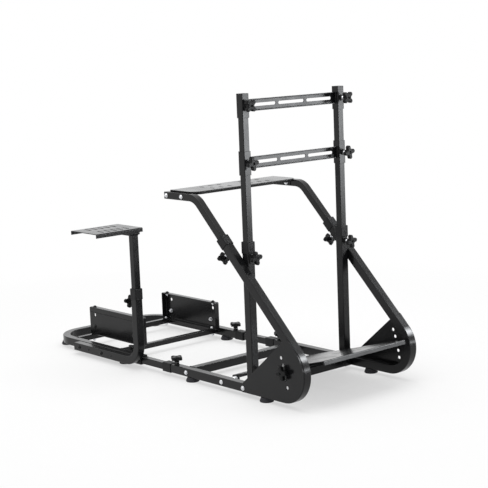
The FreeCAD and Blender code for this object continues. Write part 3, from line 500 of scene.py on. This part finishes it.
def dome_bolt_template():
    """Domed head with a hexagon socket."""
    s = stand_settings().fasteners
    bm = bmesh.new()
    disc(bm, s.bolt_radius, 0.0, s.bolt_height, segments=24, top_radius=s.bolt_radius * DOME_TOP)
    rounded(bm, rim_edges(bm, s.bolt_height), s.bolt_height * DOME_ROUND, segments=4)
    top = max(bm.faces, key=lambda f: (round(f.calc_center_median().z, 7), f.calc_area()))
    bmesh.ops.inset_region(bm, faces=[top], thickness=s.bolt_radius * SOCKET_RIM)
    flat = s.bolt_radius * SOCKET_FLAT
    for vert in top.verts:
        angle = math.atan2(vert.co.y, vert.co.x)
        part = (angle + math.pi / 6) % (math.pi / 3) - math.pi / 6
        reach = flat / math.cos(part)
        vert.co.x, vert.co.y = reach * math.cos(angle), reach * math.sin(angle)
    sunk = bmesh.ops.extrude_face_region(bm, geom=[top])
    floor_verts = [v for v in sunk["geom"] if isinstance(v, bmesh.types.BMVert)]
    bmesh.ops.translate(bm, vec=(0, 0, -s.bolt_height * SOCKET_DEPTH), verts=floor_verts)
    return to_mesh(bm, "dome_bolt")


def nut_template():
    """Hexagon lock nut with a rounded crown and the screw's end."""
    s = stand_settings().fasteners
    radius, height = s.nut_radius, s.nut_height
    hexagon, screw = height * HEXAGON_HEIGHT, height * SCREW_HEIGHT
    bm = bmesh.new()
    disc(bm, radius, 0.0, hexagon, segments=6)
    rounded(bm, rim_edges(bm, hexagon), height * NUT_ROUND, segments=2)
    disc(bm, radius * CROWN_RADIUS, hexagon * CROWN_FOOT, height, segments=24, top_radius=radius * CROWN_TOP)
    rounded(bm, rim_edges(bm, height), height * NUT_ROUND, segments=2)
    disc(bm, radius * SCREW_RADIUS, 0.0, screw, segments=20, top_radius=radius * SCREW_TOP)
    rounded(bm, rim_edges(bm, screw), height * SCREW_ROUND, segments=1)
    return to_mesh(bm, "lock_nut")


def ring_template(radius, section):
    """Round ring lying on the XY plane."""
    bm = bmesh.new()
    made = bmesh.ops.create_circle(bm, segments=10, radius=section / 2)
    bmesh.ops.rotate(bm, matrix=Matrix.Rotation(math.pi / 2, 3, "X"), verts=made["verts"])
    bmesh.ops.translate(bm, vec=(radius, 0, 0), verts=made["verts"])
    bmesh.ops.spin(bm, geom=bm.verts[:] + bm.edges[:], cent=(0, 0, 0), axis=(0, 0, 1), dvec=(0, 0, 0),
                   angle=2 * math.pi, steps=32, use_merge=True, use_duplicate=False)
    return to_mesh(bm, "ring")


def stamp(bm, template, matrix):
    """Adds a placed copy of a template to a mesh."""
    count = len(bm.verts)
    bm.from_mesh(template)
    bm.verts.ensure_lookup_table()
    bmesh.ops.transform(bm, matrix=matrix, verts=bm.verts[count:])


LEAST_RIPPLES = 4


def rippled_rod(bm, start, end, radius, ripple, segments, waist, tip):
    """Rod that narrows at every second step and at its ends, to these shares of its radius."""
    run = end - start
    steps = max(LEAST_RIPPLES, round(run.length / ripple))
    made = bmesh.ops.create_circle(bm, segments=segments, radius=radius * tip)
    bmesh.ops.transform(bm, matrix=facing(start, run), verts=made["verts"])
    ring = list({e for v in made["verts"] for e in v.link_edges})
    first = ring
    for step in range(1, steps + 1):
        grown = bmesh.ops.extrude_edge_only(bm, edges=ring)["geom"]
        verts = [v for v in grown if isinstance(v, bmesh.types.BMVert)]
        ring = [e for e in grown if isinstance(e, bmesh.types.BMEdge) and all(v in verts for v in e.verts)]
        bmesh.ops.translate(bm, vec=run / steps, verts=verts)
        centre = start + run * (step / steps)
        share = tip if step == steps else (1.0, waist)[step % 2]
        grow = share * radius / (verts[0].co - centre).length
        bmesh.ops.scale(bm, vec=(grow,) * 3, space=Matrix.Translation(-centre), verts=verts)
    for loop in (first, ring):
        bmesh.ops.edgeloop_fill(bm, edges=loop)


def weld_bead(bm, start, end):
    """Rippled weld bead from one point to another."""
    s = stand_settings().fasteners
    rippled_rod(bm, start, end, s.bead_radius, s.bead_pitch, segments=8, waist=0.84, tip=0.45)


def thread(bm, start, end):
    """Bare length of a clamp screw."""
    s = stand_settings().fasteners
    rippled_rod(bm, start, end, s.thread_radius, s.thread_pitch / 2, segments=20, waist=0.9, tip=0.9)


# Angles from which an edge is shaded sharp, on pieces in general and on weld beads.
EDGE_SHARP, WELD_SHARP = math.radians(35.0), math.radians(60.0)


def new_piece(name, bm, body, slot, material, sharp=EDGE_SHARP):
    """Turns a mesh into a piece that rides on a body."""
    if not bm.faces:
        raise RuntimeError(f"{name} has no faces")
    mesh = to_mesh(bm, name)
    for polygon in mesh.polygons:
        polygon.use_smooth = True
    mesh.set_sharp_from_angle(angle=sharp)
    mesh.materials.append(material)
    piece = bpy.data.objects.new(name, mesh)
    bpy.context.scene.collection.objects.link(piece)
    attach(piece, body)


def steel_finish(black):
    """Slot and material of a coated or plated fastener."""
    return ("black_steel", coat_material()) if black else ("zinc_steel", zinc_material())


def fastened(name, body, places, template, washers=True, black=False):
    """Bolts or nuts standing on faces, with or without washers, plated or coated black."""
    lift = stand_settings().fasteners.washer_height if washers else 0.0
    washer = washer_template()
    bm = bmesh.new()
    for point, outward in places:
        if washers:
            stamp(bm, washer, facing(point, outward))
        stamp(bm, template, facing(point + outward * lift, outward))
    bpy.data.meshes.remove(template)
    bpy.data.meshes.remove(washer)
    new_piece(name, bm, body, *steel_finish(black))


def coat_nodes(slot, material):
    """Gives every node of a material slot its finish."""
    names = [part["node"] for part in frame["record"]["subparts"] if part["material_slot"] == slot]
    if not names:
        raise RuntimeError(f"no node has the slot {slot}")
    for name in names:
        materials = frame["nodes"][name].data.materials
        materials.clear()
        materials.append(material)


def one_side(name, side):
    """Corner points of the half of a node that lies on one side of the middle."""
    points = {tuple(round(c, 6) for c in v.co) for v in frame["nodes"][name].data.vertices}
    return [Vector(p) for p in points if (p[1] - MAST_LINE.y) * side > 0]


# Each knob node: its body, its outward directions on the right and left, and whether it turns in a clamp nut.
KNOBS = (
    ("mast_knobs", "base", (X, X), True), ("arm_knobs", "base", (UNDER_DIAGONAL, UNDER_DIAGONAL), True),
    ("base_knobs", "base", (Z, Z), True), ("pedal_knobs", "base", (-Y, Y), False),
    ("seat_knobs", "seat_frame", (Z, Z), True), ("upper_bar_knobs", "upper_bar", (X, X), True),
    ("lower_bar_knobs", "lower_bar", (X, X), True), ("shifter_knob", "seat_frame", (-X,), True),
)

# In metres along a knob: from its screw's tip to the weld round its clamp nut and to its bare thread, and from its
# top to the thread's other end. Points within the band belong to the tip.
BOSS_FROM_TIP, THREAD_FROM_TIP, THREAD_FROM_TOP = 0.0022, 0.0092, 0.021
TIP_BAND = 1e-5


def knob_span(name, side, outward):
    """Tip of a knob's screw, and the length from there to the knob's top, along the knob's own axis."""
    points = one_side(name, side)
    near, far = min(p.dot(outward) for p in points), max(p.dot(outward) for p in points)
    end = [p for p in points if p.dot(outward) < near + TIP_BAND]
    tip = sum(end, Vector()) / len(end)
    return tip, far - near


# Scales of a washer as a hole's plug and inside a collar's mark, and how far up its collar the mark stands.
PLUG_SCALE = 0.36
MARK_SCALE, MARK_RISE = PLUG_SCALE * 0.7, 0.4

# Corner radius of the wheel deck, and the angle round a corner at which its lip comes over an arm.
DECK_CORNER = 0.036
LIP_CLEAR = math.radians(53.0)

# Section of the lip in metres: out from the corner's arc and down from the deck's top, then its lower edge's ends.
LIP_TOP = ((-0.0014, 0.0013), (0.0008, 0.0008), (0.0016, 0.0019))
LIP_FOOT = (0.0004, -0.0014)


def lip_face(bm, centre, angle, drop):
    """Cross section of the deck's lip, which leans in a little towards its lower edge."""
    across = Vector((math.cos(angle), math.sin(angle), 0.0))
    shape = LIP_TOP + tuple((out, drop) for out in LIP_FOOT)
    verts = [bm.verts.new(centre + across * (DECK_CORNER + out) - Z * down) for out, down in shape]
    return bm.faces.new(verts)


def swung(bm, face, centre, angle):
    """Sweeps a face round an upright axis and gives the face at the far end."""
    geom = [face] + face.edges[:] + face.verts[:]
    swept = bmesh.ops.spin(bm, geom=geom, cent=centre, axis=Z, dvec=(0, 0, 0), angle=angle, steps=10,
                           use_merge=False, use_duplicate=False)["geom_last"]
    return next(f for f in swept if isinstance(f, bmesh.types.BMFace))


# Operators

class STAND_OT_coat_steel(bpy.types.Operator):
    """Coat the tubes, plates and brackets black, and plate the bare steel with zinc"""
    bl_idname = "stand.coat_steel"
    bl_label = "Coat Steel"

    def execute(self, context):
        coat_nodes("black_steel", coat_material())
        coat_nodes("zinc_steel", zinc_material())
        return {"FINISHED"}


class STAND_OT_finish_mouldings(bpy.types.Operator):
    """Give the collars, plugs, knobs and feet their moulded finishes"""
    bl_idname = "stand.finish_mouldings"
    bl_label = "Finish Mouldings"

    def execute(self, context):
        coat_nodes("collar_plastic", collar_material())
        coat_nodes("knob_plastic", knob_material())
        coat_nodes("foot_rubber", rubber_material())
        return {"FINISHED"}


class STAND_OT_bolt_base(bpy.types.Operator):
    """Bolt the masts, gusset plates and cross tube to the side tubes"""
    bl_idname = "stand.bolt_base"
    bl_label = "Bolt Base"

    def execute(self, context):
        heads, nuts, screws = [], [], []
        for label, side in SIDES:
            out = Y * side
            tube_face = side_face(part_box(label + "_side_tube"), side)
            plate_face = side_face(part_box(label + "_gusset_plate"), side)
            mast_face = side_face(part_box(label + "_mast_lower"), -side)
            heads.append((on_side(MAST_BOLT, plate_face), out))
            heads.extend((on_side(place, tube_face), out) for place in TUBE_BOLTS)
            screws.extend((on_side(place, plate_face), out) for place in GUSSET_SCREWS)
            nuts.append((on_side(MAST_NUT, mast_face), -out))
        fastened("base_bolts", "base", heads, dome_bolt_template())
        fastened("gusset_screws", "base", screws, dome_bolt_template(), washers=False, black=True)
        fastened("base_nuts", "base", nuts, nut_template(), black=True)
        return {"FINISHED"}


class STAND_OT_bolt_wheel_deck(bpy.types.Operator):
    """Bolt the wheel deck's tabs to the arms"""
    bl_idname = "stand.bolt_wheel_deck"
    bl_label = "Bolt Wheel Deck"

    def execute(self, context):
        heads, nuts = [], []
        for label, side in SIDES:
            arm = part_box(label + "_wheel_arm")
            outer, inner = side_face(arm, side), side_face(arm, -side) - side * TAB_SHEET
            heads.extend((on_side(place, outer), Y * side) for place in ARM_BOLTS)
            nuts.extend((on_side(place, inner), Y * -side) for place in ARM_BOLTS)
        fastened("arm_bolts", "wheel_deck", heads, dome_bolt_template())
        fastened("arm_nuts", "wheel_deck", nuts, nut_template())
        return {"FINISHED"}


class STAND_OT_edge_wheel_deck(bpy.types.Operator):
    """Turn a lip down along the wheel deck's front edge and round its front corners"""
    bl_idname = "stand.edge_wheel_deck"
    bl_label = "Edge Wheel Deck"

    def execute(self, context):
        s = stand_settings().fasteners
        low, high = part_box("wheel_plate")
        over_arm = high.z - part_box("right_wheel_arm")[1].z
        width = high.y - low.y - 2 * DECK_CORNER
        right = Vector((high.x - DECK_CORNER, low.y + DECK_CORNER, high.z))
        left = right + Y * width
        bm = bmesh.new()
        end = swung(bm, lip_face(bm, right, -LIP_CLEAR, s.lip_drop), right, LIP_CLEAR)
        grown = bmesh.ops.extrude_face_region(bm, geom=[end])["geom"]
        bmesh.ops.translate(bm, vec=Y * width, verts=[v for v in grown if isinstance(v, bmesh.types.BMVert)])
        swung(bm, next(f for f in grown if isinstance(f, bmesh.types.BMFace)), left, LIP_CLEAR)
        rest = math.pi / 2 - LIP_CLEAR
        swung(bm, lip_face(bm, right, -math.pi / 2, over_arm), right, rest)
        swung(bm, lip_face(bm, left, LIP_CLEAR, over_arm), left, rest)
        new_piece("wheel_deck_lip", bm, "wheel_deck", "black_steel", coat_material())
        return {"FINISHED"}


class STAND_OT_bolt_brackets(bpy.types.Operator):
    """Bolt the seat brackets to the seat bars and fit the seat's bolts"""
    bl_idname = "stand.bolt_brackets"
    bl_label = "Bolt Brackets"

    def execute(self, context):
        heads, black_heads, nuts = [], [], []
        for label, side in SIDES:
            low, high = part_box(label + "_seat_bracket")
            middle = (low.y + high.y) / 2
            web, web_z = side_face((low, high), side), low.z + WEB_BOLT_RISE
            for x, web_x in ((low.x + SEAT_BOLT_INSET, low.x + WEB_BOLT_REAR),
                             (high.x - SEAT_BOLT_INSET, high.x - WEB_BOLT_FRONT)):
                black_heads.append((Vector((x, middle, high.z)), Z))
                nuts.append((Vector((x, middle, high.z - BRACKET_SHEET)), -Z))
                black_heads.append((Vector((web_x, web, web_z)), Y * side))
                nuts.append((Vector((web_x, web - side * BRACKET_SHEET, web_z)), Y * -side))
            for bar in ("seat_front_bar", "seat_rear_bar"):
                bar_low, bar_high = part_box(bar)
                x = (bar_low.x + bar_high.x) / 2
                heads.append((Vector((x, middle, low.z + BRACKET_SHEET)), Z))
                nuts.append((Vector((x, middle, bar_low.z)), -Z))
        fastened("bracket_bolts", "seat_frame", heads, dome_bolt_template())
        fastened("seat_and_web_bolts", "seat_frame", black_heads, dome_bolt_template(), black=True)
        fastened("bracket_nuts", "seat_frame", nuts, nut_template())
        return {"FINISHED"}


class STAND_OT_bolt_shifter_leg(bpy.types.Operator):
    """Bolt the shifter leg to the seat frame and plug its two small holes"""
    bl_idname = "stand.bolt_shifter_leg"
    bl_label = "Bolt Shifter Leg"

    def execute(self, context):
        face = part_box("shifter_leg_tube")[0].y
        heads = [(on_side(place, face), -Y) for place in LEG_BOLTS]
        fastened("leg_bolts", "seat_frame", heads, dome_bolt_template(), black=True)
        washer = washer_template()
        bm = bmesh.new()
        for place in LEG_PLUGS:
            stamp(bm, washer, facing(on_side(place, face), -Y) @ Matrix.Scale(PLUG_SCALE, 4))
        bpy.data.meshes.remove(washer)
        new_piece("leg_plugs", bm, "seat_frame", "foot_rubber", rubber_material())
        return {"FINISHED"}


class STAND_OT_weld_frame(bpy.types.Operator):
    """Run weld beads where tubes and bars meet"""
    bl_idname = "stand.weld_frame"
    bl_label = "Weld Frame"

    def execute(self, context):
        groups = (
            ("base_welds", "base", ("mid_cross_tube", "front_cross_tube"), True),
            ("seat_welds", "seat_frame", ("seat_front_bar", "seat_rear_bar"), True),
            ("upper_bar_welds", "upper_bar", ("upper_monitor_bar",), False),
            ("lower_bar_welds", "lower_bar", ("lower_monitor_bar",), False),
        )
        for name, body, bars, over_top in groups:
            bm = bmesh.new()
            for bar in bars:
                low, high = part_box(bar)
                for y in (low.y, high.y):
                    for x in (low.x, high.x):
                        weld_bead(bm, Vector((x, y, low.z)), Vector((x, y, high.z)))
                    if over_top:
                        weld_bead(bm, Vector((low.x, y, high.z)), Vector((high.x, y, high.z)))
            new_piece(name, bm, body, "black_steel", coat_material(), WELD_SHARP)
        low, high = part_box("shifter_post")
        bm = bmesh.new()
        rear_right, front_right, front_left, rear_left = (
            Vector((x, y, high.z)) for x, y in
            ((low.x, low.y), (high.x, low.y), (high.x, high.y), (low.x, high.y)))
        for start, end in ((rear_right, front_right), (front_left, rear_left), (rear_left, rear_right)):
            weld_bead(bm, start, end)
        new_piece("shifter_welds", bm, "shifter_top", "black_steel", coat_material(), WELD_SHARP)
        return {"FINISHED"}


class STAND_OT_mark_collars(bpy.types.Operator):
    """Mould a small round boss into the front of each mast collar"""
    bl_idname = "stand.mark_collars"
    bl_label = "Mark Collars"

    def execute(self, context):
        s = stand_settings().fasteners
        ring, washer = ring_template(s.mark_radius, s.ring_section), washer_template()
        bm = bmesh.new()
        for _, side in SIDES:
            points = one_side("mast_collars", side)
            low = Vector(min(p[axis] for p in points) for axis in range(3))
            high = Vector(max(p[axis] for p in points) for axis in range(3))
            place = facing(Vector((high.x, (low.y + high.y) / 2, low.z + (high.z - low.z) * MARK_RISE)), X)
            stamp(bm, ring, place)
            stamp(bm, washer, place @ Matrix.Scale(MARK_SCALE, 4))
        bpy.data.meshes.remove(ring)
        bpy.data.meshes.remove(washer)
        new_piece("collar_marks", bm, "base", "collar_plastic", collar_material())
        return {"FINISHED"}


class STAND_OT_fit_knobs(bpy.types.Operator):
    """Add the ring round each knob's recess, its bare thread and the weld round its clamp nut"""
    bl_idname = "stand.fit_knobs"
    bl_label = "Fit Knobs"

    def execute(self, context):
        s = stand_settings().fasteners
        ring, weld = ring_template(s.ring_radius, s.ring_section), ring_template(s.boss_radius, s.boss_section)
        for name, body, outwards, clamps in KNOBS:
            spans = [(outward, *knob_span(name, side, outward)) for (_, side), outward in zip(SIDES, outwards)]
            rings = bmesh.new()
            for outward, tip, length in spans:
                stamp(rings, ring, facing(tip + outward * (length - s.ring_section / 2), outward))
            new_piece(name + "_rings", rings, body, "knob_plastic", knob_material())
            if not clamps:
                continue
            welds, threads = bmesh.new(), bmesh.new()
            for outward, tip, length in spans:
                stamp(welds, weld, facing(tip + outward * BOSS_FROM_TIP, outward))
                thread(threads, tip + outward * THREAD_FROM_TIP, tip + outward * (length - THREAD_FROM_TOP))
            new_piece(name + "_welds", welds, body, "black_steel", coat_material())
            new_piece(name + "_threads", threads, body, "zinc_steel", zinc_material())
        bpy.data.meshes.remove(ring)
        bpy.data.meshes.remove(weld)
        return {"FINISHED"}


# Stage

# Roughness of the studio floor, and the shares of its radius between which it fades out.
FLOOR_ROUGHNESS, FADE_START, FADE_END = 0.9, 0.5, 0.98

# Points that the lamps are turned to, the front box's place, and how far the others stand from their aims in metres.
STAND_MIDDLE, FRONT_BENDS = spot(-300, 0, 450), spot(270, 40, 200)
FRONT_BOX_PLACE = spot(1780, 2360, 2000)
AHEAD, BEHIND, OVERHEAD = Vector((2.6, 2.25, 0)), Vector((-3.2, 2.75, 0)), Vector((0, 0, 3.2))
OPEN_BEAM = math.pi

# Width of the camera's sensor in millimetres, and the nearest and furthest distance that it shows in metres.
SENSOR_WIDTH, NEAREST, FURTHEST = 36.0, 0.05, 100.0


def lamp(name, width, height, power, place, aim, spread=OPEN_BEAM):
    """Rectangular lamp at a place, turned to its aim."""
    data = bpy.data.lights.new(name, "AREA")
    data.shape = "RECTANGLE"
    data.size, data.size_y, data.energy, data.spread = width, height, power, spread
    made = bpy.data.objects.new(name, data)
    bpy.context.scene.collection.objects.link(made)
    made.location = place
    made.rotation_euler = (aim - place).to_track_quat("-Z", "Y").to_euler()
    return made


def seen_ray(tree):
    """One for rays that show the stage, directly, in a reflection or through glass."""
    path = node(tree, "ShaderNodeLightPath")
    seen = maths(tree, "MAXIMUM", path.outputs["Is Camera Ray"], path.outputs["Is Glossy Ray"])
    return maths(tree, "MAXIMUM", seen, path.outputs["Is Transmission Ray"])


def lay_floor(s, colour):
    """Pale floor that keeps the stand's shadow and fades out into the white room."""
    bm = bmesh.new()
    bmesh.ops.create_circle(bm, cap_ends=True, segments=96, radius=s.floor_radius)
    mesh = to_mesh(bm, "studio_floor")
    material, tree, shader = new_material("studio_floor")
    shader.inputs["Base Color"].default_value = tuple(colour)
    shader.inputs["Roughness"].default_value = FLOOR_ROUGHNESS
    shader.inputs["Specular IOR Level"].default_value = 0.0
    far = node(tree, "ShaderNodeVectorMath", operation="LENGTH")
    tree.links.new(node(tree, "ShaderNodeTexCoord").outputs["Object"], far.inputs[0])
    start, end = s.floor_radius * FADE_START, s.floor_radius * FADE_END
    fade = ranged(tree, far.outputs["Value"], start, end, to_low=1.0, to_high=0.0)
    tree.links.new(fade, shader.inputs["Alpha"])
    white = node(tree, "ShaderNodeEmission")
    lifted = node(tree, "ShaderNodeMixShader")
    tree.links.new(maths(tree, "MULTIPLY", seen_ray(tree), s.floor_lift), lifted.inputs[0])
    tree.links.new(shader.outputs[0], lifted.inputs[1])
    tree.links.new(white.outputs[0], lifted.inputs[2])
    tree.links.new(lifted.outputs[0], tree.nodes["Material Output"].inputs["Surface"])
    mesh.materials.append(material)
    floor = bpy.data.objects.new("studio_floor", mesh)
    bpy.context.scene.collection.objects.link(floor)


def light_room(s):
    """Room that looks white and lights the stand evenly, at its own level."""
    world = bpy.data.worlds.new("studio_room")
    bpy.context.scene.world = world
    world.use_nodes = True
    tree = world.node_tree
    background = tree.nodes["Background"]
    background.inputs["Color"].default_value = (1, 1, 1, 1)
    strength = ranged(tree, seen_ray(tree), to_low=s.room_level, to_high=1.0)
    tree.links.new(strength, background.inputs["Strength"])


def hang_lamps(s):
    """Boxes that only reflections show, and a soft box overhead."""
    boxes = [("front_box", 1.4, 1.4, s.front_power, FRONT_BOX_PLACE, FRONT_BENDS, s.front_spread)]
    for name, width, height, power, away, rise, spread in (
            ("upper_box", 2.6, 0.9, s.upper_power, AHEAD, 2.15, OPEN_BEAM),
            ("low_box", 2.6, 0.7, s.low_power, AHEAD, 0.15, s.low_spread),
            ("back_box", 5.6, 1.5, s.back_power, BEHIND, 0.75, OPEN_BEAM)):
        aim = STAND_MIDDLE + Z * rise
        boxes.append((name, width, height, power, aim + away, aim, spread))
    for row in boxes:
        box = lamp(*row)
        box.data.color = s.box_colour
        box.visible_diffuse = box.visible_camera = False
    lamp("top_box", 3.0, 3.0, s.top_power, STAND_MIDDLE + OVERHEAD, STAND_MIDDLE)


def set_camera(s):
    """Camera with the photograph's place, heading, pitch and roll."""
    data = bpy.data.cameras.new("photo_camera")
    data.lens, data.sensor_width = s.camera_lens, SENSOR_WIDTH
    data.clip_start, data.clip_end = NEAREST, FURTHEST
    camera = bpy.data.objects.new("photo_camera", data)
    bpy.context.scene.collection.objects.link(camera)
    level = Vector((math.cos(s.camera_heading), math.sin(s.camera_heading), 0.0))
    look = level * math.cos(s.camera_pitch) - Z * math.sin(s.camera_pitch)
    across = Vector((level.y, -level.x, 0.0))
    rise = across.cross(look)
    right = across * math.cos(s.camera_roll) + rise * math.sin(s.camera_roll)
    up = rise * math.cos(s.camera_roll) - across * math.sin(s.camera_roll)
    turn = Matrix((right, up, -look)).transposed().to_4x4()
    camera.matrix_world = Matrix.Translation(MAST_LINE + Vector(s.camera_place)) @ turn
    bpy.context.scene.camera = camera


class STAND_OT_set_stage(bpy.types.Operator):
    """Lay the floor, hang the lamps and set the camera"""
    bl_idname = "stand.set_stage"
    bl_label = "Set Stage"

    def execute(self, context):
        s = stand_settings().stage
        context.scene.view_settings.view_transform = "Standard"
        lay_floor(s, stand_settings().finishes.floor)
        light_room(s)
        hang_lamps(s)
        set_camera(s)
        return {"FINISHED"}


class STAND_PT_dresser(bpy.types.Panel):
    """Lists the stand's operators and settings"""
    bl_label = "Driving Stand"
    bl_idname = "STAND_PT_dresser"
    bl_space_type = "VIEW_3D"
    bl_region_type = "UI"
    bl_category = "Driving Stand"

    def draw(self, context):
        for operator in OPERATORS:
            self.layout.operator(operator.bl_idname)
        settings = context.scene.driving_stand
        for group in (settings.fasteners, settings.finishes, settings.stage):
            column = self.layout.column()
            for label in group.__annotations__:
                column.prop(group, label)


GROUPS = (FastenerSizes, FinishColours, StageSettings, StandSettings)
OPERATORS = (
    STAND_OT_set_stage, STAND_OT_coat_steel, STAND_OT_finish_mouldings, STAND_OT_bolt_base,
    STAND_OT_bolt_wheel_deck, STAND_OT_edge_wheel_deck, STAND_OT_bolt_brackets, STAND_OT_bolt_shifter_leg,
    STAND_OT_weld_frame, STAND_OT_mark_collars, STAND_OT_fit_knobs,
)


def register():
    for item in GROUPS + OPERATORS + (STAND_PT_dresser,):
        bpy.utils.register_class(item)
    bpy.types.Scene.driving_stand = PointerProperty(
        name="Driving Stand", description="Settings of the driving stand", type=StandSettings)


def unregister():
    del bpy.types.Scene.driving_stand
    for item in reversed(GROUPS + OPERATORS + (STAND_PT_dresser,)):
        bpy.utils.unregister_class(item)


def main():
    register()
    bpy.ops.stand.set_stage()
    bpy.ops.stand.coat_steel()
    bpy.ops.stand.finish_mouldings()
    bpy.ops.stand.bolt_base()
    bpy.ops.stand.bolt_wheel_deck()
    bpy.ops.stand.edge_wheel_deck()
    bpy.ops.stand.bolt_brackets()
    bpy.ops.stand.bolt_shifter_leg()
    bpy.ops.stand.weld_frame()
    bpy.ops.stand.mark_collars()
    bpy.ops.stand.fit_knobs()


if __name__ == "__main__":
    main()
